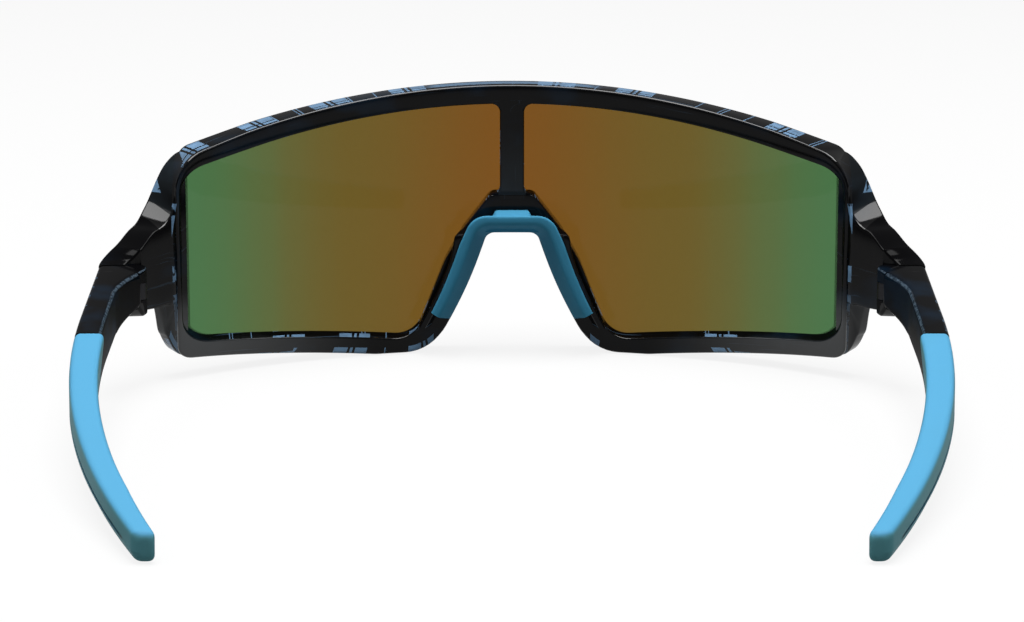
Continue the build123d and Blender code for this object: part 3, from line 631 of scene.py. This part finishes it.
def smooth_table(t, knots, values):
    """Cubic through the knots, with the slope at each from its neighbours."""
    knots, values = np.asarray(knots, float), np.asarray(values, float)
    slopes = np.gradient(values, knots)
    i = np.clip(np.searchsorted(knots, t, side="right") - 1, 0, len(knots) - 2)
    h = knots[i + 1] - knots[i]
    u = np.clip((t - knots[i]) / h, 0, 1)
    return ((2 * u ** 3 - 3 * u ** 2 + 1) * values[i] + (u ** 3 - 2 * u ** 2 + u) * h * slopes[i]
            + (3 * u ** 2 - 2 * u ** 3) * values[i + 1] + (u ** 3 - u ** 2) * h * slopes[i + 1])


def endpiece_rings(side):
    """Five-cornered sections along the wall, u millimetres from the end of the wrap. Outer plan line:
    the wrap, a straight at 45 degrees, an arc of 7 mm, then straight back. Inner line: a smooth curve
    from the back edge of the rim, then an arc about the pivot. The fifth corner is the foot of the
    lower panel."""
    straight_run, corner_r, recess, panel = 12.6, 7.0, 2.25, 2.0
    u = np.concatenate([np.linspace(-4.7, 6.0, 120), np.linspace(6.0, straight_run, 40)[1:],
                        np.linspace(straight_run, 18.1, 26)[1:]])
    start = math.pi / 4 + np.minimum(u, 0) / FRONT_R
    straight = np.clip(u, 0, straight_run) / math.sqrt(2)
    heading = math.pi / 4 + np.clip((u - straight_run) / corner_r, 0, math.pi / 4)
    out_x = FRONT_R * np.sin(start) + straight + corner_r * (np.sin(heading) - math.sin(math.pi / 4))
    out_y = (WRAP_Y - FRONT_R * np.cos(start) + straight
             + corner_r * (math.cos(math.pi / 4) - np.cos(heading))
             + np.clip(u - straight_run - corner_r * math.pi / 4, 0, None))
    first, last = math.radians(-112.0), math.radians(-32.3)
    knots = [-4.7, -2.0, 0.0, 2.0, 4.5, 6.5, 9.0, straight_run]
    line_end = PIVOT + recess * np.array([math.cos(first), math.sin(first)])
    line_x = smooth_table(u, knots, [59.6, 60.5, 60.9, 61.3, 61.8, 62.9, 64.8, line_end[0]])
    line_y = smooth_table(u, knots, [-48.3, -47.3, -46.7, -46.1, -45.3, -44.1, -42.1, line_end[1]])
    sweep = first + (last - first) * np.clip((u - straight_run) / 5.5, 0, 1)
    arc = PIVOT + recess * np.stack([np.cos(sweep), np.sin(sweep)], -1)
    inside = np.where((u > straight_run)[:, None], arc, np.stack([line_x, line_y], 1))
    foot_knots = [-4.7, -1.0, 1.0, 2.2, 3.2, 4.1, 5.0]
    merged = u > foot_knots[-1]
    foot_x = np.where(merged, out_x - panel * np.sin(heading),
                      smooth_table(u, foot_knots, [59.8, 61.2, 62.6, 63.5, 64.5, 65.4, 65.75]))
    foot_y = np.where(merged, out_y + panel * np.cos(heading),
                      smooth_table(u, foot_knots, [-48.5, -48.6, -49.0, -48.9, -48.9, -48.6, -47.7]))
    top = smooth_table(u, [-4.7, -3.5, -2.5, -1.5, -0.5, 0.8, 2.1, 3.4, 4.6,
                           5.0, 5.3, 7.0, 7.4, 9.0, 12.1, 14.0, 16.0, 18.1],
                       [41.4, 41.35, 41.1, 40.6, 39.9, 38.7, 36.9, 34.75, 32.75,
                        32.15, 31.75, 29.45, 29.05, 28.0, 25.5, 24.4, 23.5, 22.9])
    in_top = smooth_table(u, [-4.7, -2.0, 0.0, 2.0, 4.5, 6.5, 9.0, straight_run, 15.0, 18.1],
                          [40.0, 38.0, 36.3, 34.4, 31.2, 29.4, 28.2, 25.5, 24.1, 22.9])
    low = smooth_table(u, [-6, -4, -2.5, -1.0, 0, 1.0, 2.2, 2.84, 3.1, 3.4, 4.1, 5.0, 9.0, 18.1],
                       [5.0, 4.4, 4.02, 4.2, 4.5, 5.4, 7.4, 8.9, 10.6, 12.2, 13.6, 14.1, 14.1, 14.1])
    mid = smooth_table(u, [-6, -2, 1.0, 3.0, 6.0, 18.1], [12.0, 13.0, 13.9, 14.4, 14.1, 14.1])
    in_x, in_y = inside.T
    plan = [(foot_x, foot_y, low), (out_x, out_y, low), (out_x, out_y, top), (in_x, in_y, in_top),
            (in_x, in_y, np.maximum(mid, low))]
    corners = np.stack([np.stack([side * x, y, z], -1) for x, y, z in plan], 1)
    return ring(corners, [0.3, 0.35, 0.5, 0.45, 0.5], steps=6)


for name, side, start in (("left", 1, 62.0), ("right", -1, 150.0)):
    make_piece(f"endpiece_{name}", [tube(endpiece_rings(side))], black, "front", start)

# ---- temples --------------------------------------------------------------------------------------
# Gloss black arms: a wide block with a two-lipped round knuckle at the hinge, then a slim bar that
# falls evenly to the tip and carries the sock. The steel tongue turns between the lips.
TOP_Z, TIP_Z, TIP_Y = 22.7, 4.7, 79.0
SLOPE = (TOP_Z - TIP_Z) / (TIP_Y - JOINT_Y)
BEND_Y, BEND_R, ARM_W = -13.0, 228.0, 4.6
KNUCKLE = 2.0                                    # radius of the two lips about the pivot
SLOT_LOW, SLOT_HIGH, SLOT_BACK_Y = 16.8, 20.0, -35.2    # slot between them, for the tongue
CHEEK_X = 71.7                                   # inner side of the wall outside the slot
SOCK_Y = -4.0                                    # where the sock begins, at its top


def outer_line(y):
    """Outer face: straight to the bend, then an arc of 228 mm towards the head."""
    return OUTER_X - (BEND_R - np.sqrt(BEND_R ** 2 - np.maximum(0, y - BEND_Y) ** 2))


def top_line(y):
    """Top: an even fall from the joint to the tip."""
    return TOP_Z - SLOPE * (y - JOINT_Y)


def arm_low(y):
    """Underside of the arm: 8.6 mm under the top at the joint, 7.2 mm under it inside the sock."""
    return top_line(y) - 8.6 + 1.4 * np.clip((y - JOINT_Y) / 48.0, 0, 1)


def block_inner(y):
    """Inner face: the round of the knuckle, then a soft neck down to the width of the arm."""
    round_part = PIVOT[0] - np.sqrt(np.clip(KNUCKLE ** 2 - (y - PIVOT[1]) ** 2, 0, None))
    neck_run, ease = 13.0, 1.3
    share = np.clip((y - PIVOT[1]) / neck_run, 0, 1)
    share = share ** ease * (1 + ease - ease * share)
    neck = PIVOT[0] - KNUCKLE + (outer_line(y) - ARM_W - PIVOT[0] + KNUCKLE) * share
    return np.where(y < PIVOT[1], round_part, neck)


def box_rings(side, y, x_in, x_out, low_in, low_out, high, radii, steps=6):
    """Sections across the arm at each y, between the inner and outer line and the levels."""
    y, x_in, x_out, low_in, low_out, high = np.broadcast_arrays(y, x_in, x_out, low_in, low_out, high)
    corners = np.stack([np.stack([side * x, y, z], -1)
                        for x, z in ((x_in, low_in), (x_out, low_out), (x_out, high), (x_in, high))], 1)
    return ring(corners, radii, steps)


def inner_rise(y):
    """The underside of the block slants up to its inner face, by 2 mm behind the knuckle."""
    return 2.0 * np.clip((y + 36.4) / 1.5, 0, 1) * np.clip((-26.5 - y) / 8.0, 0, 1)


def temple_shells(side):
    """The arm with the cheek outside the fork, and the upper and lower lip of the knuckle."""
    short, turns = 8, 12                             # sections along the slot and round the knuckle
    arm_end = 9.5                                    # inside the sock
    y = np.concatenate([np.linspace(JOINT_Y, SLOT_BACK_Y, short),
                        np.linspace(SLOT_BACK_Y, arm_end, 160)])
    cheek = np.arange(len(y)) < short
    x_in = np.where(cheek, CHEEK_X, block_inner(y))
    radii = np.stack([np.where(cheek, 0.0, 0.8), np.full(len(y), 0.9), np.full(len(y), 0.9),
                      np.where(cheek, 0.0, 1.2)], 1)
    under_sock = 0.6 * np.clip((y - SOCK_Y - 0.1) / 0.3, 0, 1)
    low_in = arm_low(y) + inner_rise(y) * (1 - cheek)
    shells = [box_rings(side, y, x_in, outer_line(y), low_in, arm_low(y), top_line(y) - under_sock, radii)]
    turn = np.linspace(0.12, math.pi / 3, turns)
    nose = PIVOT[1] - KNUCKLE * np.cos(turn)
    y = np.concatenate([nose, np.linspace(JOINT_Y, SLOT_BACK_Y + 0.2, short)])
    x_in = block_inner(y)
    x_out = np.concatenate([PIVOT[0] + KNUCKLE * np.sin(turn), np.full(short, CHEEK_X + 0.1)])
    knuckle = np.arange(len(y)) < turns
    soft = np.where(knuckle, np.minimum(0.45, 0.8 * (x_out - x_in) / 2), 0.0)
    inner_soft, square = np.where(knuckle, soft, 0.6), np.zeros(len(y))
    shells.append(box_rings(side, y, x_in, x_out, SLOT_HIGH, SLOT_HIGH, top_line(y) - 0.01,
                            np.stack([square, square, soft, inner_soft], 1)))
    floor_z = arm_low(y) + 0.01
    shells.append(box_rings(side, y, x_in, x_out, floor_z + inner_rise(y), floor_z, SLOT_LOW,
                            np.stack([inner_soft, soft, square, square], 1)))
    return shells


arm_black = gloss_black("arm_black", temple=True)
for name, side, start in (("left", 1, 21.0), ("right", -1, 57.0)):
    arm = make_piece(f"temple_arm_{name}", [tube(shell) for shell in temple_shells(side)], arm_black,
                     f"{name}_temple", start)
    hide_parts(f"temple_{name}")

# ---- ear socks ------------------------------------------------------------------------------------
# Soft sky-blue rubber drawn over the arm: flat sides with rounded edges, a slanted front lip, a fine
# groove along the outer side, and a square, softly rounded tip.
SOCK_SLANT, SOCK_H = 9.0, 7.6
SOCK_W, SOCK_TIP_W = 5.2, 3.9                    # width at the lip and at the tip
# the second colour is the painted shade of upright faces
sock_blue = soft_blue("sock_blue", (0.111, 0.450, 0.745, 1), (0.110, 0.345, 0.40, 1),
                      tilt=(0.15, 0.75), roughness=0.55, gloss=0.2, groove=True)


def sock_rings(side):
    """Sections from the slanted lip to the tip. Each point slides along the arm by its height, so that
    the front edge slants; near the ends the section shrinks along a quarter circle."""
    lip, tip, total = 0.45, 1.15, TIP_Y - SOCK_Y
    a = np.linspace(0, math.pi / 2, 7)
    straight = np.linspace(lip, total - tip, 110)[1:-1]
    s_mm = np.concatenate([lip * (1 - np.cos(a)), straight, total - tip * (1 - np.sin(a))])
    inset = np.concatenate([lip * (1 - np.sin(a)), np.zeros(len(straight)), tip * (1 - np.cos(a))])
    share = s_mm / total
    half_w = (SOCK_W + (SOCK_TIP_W - SOCK_W) * share) / 2 - inset
    height = SOCK_H + (TIP_Z - SOCK_H) * share
    slim = np.interp(s_mm, [20, 45, 60, 83], [0, 0.45, 0.75, 0.6])
    low_in = np.interp(s_mm, [0, 9, 28, 42, 58, 70, 78, 83],
                       [0.6, 0.6, 0.45, 0.0, -0.3, -0.35, 0.15, 0.45])
    high_in = np.interp(s_mm, [55, 65, 83], [0, -0.1, 0.35])
    edge, groove_z, groove_half = height / 2 - inset, -0.10 * height, 0.24
    groove = np.interp(s_mm, [22, 32, 74, 78], [0, 0.32, 0.32, 0])
    corners = np.stack([np.stack([x, 0 * x, z], -1) for x, z in (
        (-half_w + low_in, -edge), (half_w - slim, -edge), (half_w, groove_z - groove_half),
        (half_w - groove, groove_z), (half_w, groove_z + groove_half), (half_w, edge),
        (-half_w + high_in, edge))], 1)
    section = ring(corners, [1.1, 1.1, 0.05, 0.05, 0.05, 1.1, 1.1], steps=6)
    slide = 0.5 - section[..., 2] / height[:, None]
    y = SOCK_Y + s_mm[:, None] + SOCK_SLANT * slide * (1 - share[:, None]) ** 1.5
    middle = outer_line(y) - (SOCK_W + (SOCK_TIP_W - SOCK_W) * (y - SOCK_Y) / total) / 2
    local_h = SOCK_H + (TIP_Z - SOCK_H) * (y - SOCK_Y) / total
    z = top_line(y) - local_h / 2 + section[..., 2] * (local_h / height[:, None])
    return np.stack([side * (middle + section[..., 0]), y, z], -1)


for name, side in (("left", 1), ("right", -1)):
    sock = make_piece(f"ear_sock_rubber_{name}", [tube(sock_rings(side))], sock_blue,
                      f"{name}_temple")
    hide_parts(f"ear_sock_{name}")

# ---- hinge metal ----------------------------------------------------------------------------------
# The steel tongue in the endpiece, its pin, the pivot screw and the brass insert, as turned and
# stamped: they stay as the frame gives them.
def worn_metal(name, tint, metallic, roughness):
    """Metal with fine turning marks about the pivot and small changes of gloss."""
    m = Material(name, Metallic=metallic)
    x, y, z = m.place()
    marks = m.noise(m.vector(x * 0.2, y * 0.2, z * 6.0), 1.5)
    m.set("Base Color", m.mix(marks * 0.3, tint, tuple(0.6 * c for c in tint[:3]) + (1,)))
    m.set("Roughness", roughness + 0.15 * marks)
    return m.material


dark_steel = worn_metal("dark_steel", (0.022, 0.022, 0.025, 1), 0.8, 0.35)
brass = worn_metal("brass", (0.60, 0.43, 0.18, 1), 1.0, 0.28)
metal = {"hinge_tongue": dark_steel, "tongue_pin": dark_steel, "hinge_screw": dark_steel,
         "hinge_insert": brass}
for node_name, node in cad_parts.items():
    kind = node_name.rsplit("_", 1)[0]
    if kind in metal:
        node.data.materials.clear()
        node.data.materials.append(metal[kind])

# ---- floor, light and camera ----------------------------------------------------------------------
# A plain pale floor that still takes a soft shadow, one wide soft light above, a smaller one on each
# side, a dim even world, and the camera behind the glasses, a little above them.
floor_mesh = bpy.data.meshes.new("floor")
floor_mesh.from_pydata([(-4, -4, 0), (4, -4, 0), (4, 4, 0), (-4, 4, 0)], [], [(0, 1, 2, 3)])
floor = bpy.data.objects.new("floor", floor_mesh)
bpy.context.scene.collection.objects.link(floor)
floor.location.z = -0.0002
paper = Material("paper", Roughness=0.9, Specular_IOR_Level=0.0)
seen = paper.node("ShaderNodeLightPath", "Is Camera Ray")
floor_x, floor_y = paper.place()[:2]
grain = paper.noise(paper.vector(floor_x * 0.01, floor_y * 0.01, 0.0), 1.0)
seen = seen.maximum(paper.node("ShaderNodeLightPath", "Is Glossy Ray")).maximum(
    paper.node("ShaderNodeLightPath", "Is Transmission Ray"))
paper.set("Base Color", paper.mix(seen, (0.20, 0.20, 0.19, 1), (0.93, 0.93, 0.93, 1)))
paper.set("Roughness", 0.85 + 0.1 * grain)
lit = Value(paper.tree, paper.shader.outputs[0])
glow = paper.node("ShaderNodeEmission")
blend = paper.node("ShaderNodeMixShader", 0, {0: seen * 0.86, 1: lit, 2: glow})
paper.tree.links.new(blend.socket, paper.tree.nodes["Material Output"].inputs[0])
floor_mesh.materials.append(paper.material)

scene = bpy.context.scene
world = bpy.data.worlds.new("studio")
scene.world = world
world.use_nodes = True
sky = world.node_tree.nodes["Background"]
sky.inputs[0].default_value = (1, 1, 1, 1)
sky.inputs[1].default_value = 0.14

for name, place, turn, size, power in (
        ("top_light", (0, 0.05, 1.1), (0, 0, 0), 0.8, 12.4),
        ("side_light_left", (1.03, 0.06, 1.04), (-3, 44, 0), 0.42, 1.9),
        ("side_light_right", (-1.03, 0.06, 1.04), (-3, -44, 0), 0.42, 1.9)):
    lamp = bpy.data.lights.new(name, "AREA")
    lamp.size, lamp.energy = size, power
    holder = bpy.data.objects.new(name, lamp)
    holder.location = place
    holder.rotation_euler = [math.radians(a) for a in turn]
    scene.collection.objects.link(holder)

camera_back, camera_high, pitch = 0.52924, 0.12629, 11.15    # metres, metres, degrees below level
camera = bpy.data.cameras.new("camera")
camera.lens, camera.sensor_width = 112.5, 36.0
eye = bpy.data.objects.new("camera", camera)
eye.location = (0, camera_back, camera_high)
eye.rotation_euler = (math.radians(90 - pitch), 0, math.pi)
scene.collection.objects.link(eye)
scene.camera = eye
scene.view_settings.view_transform = "Standard"
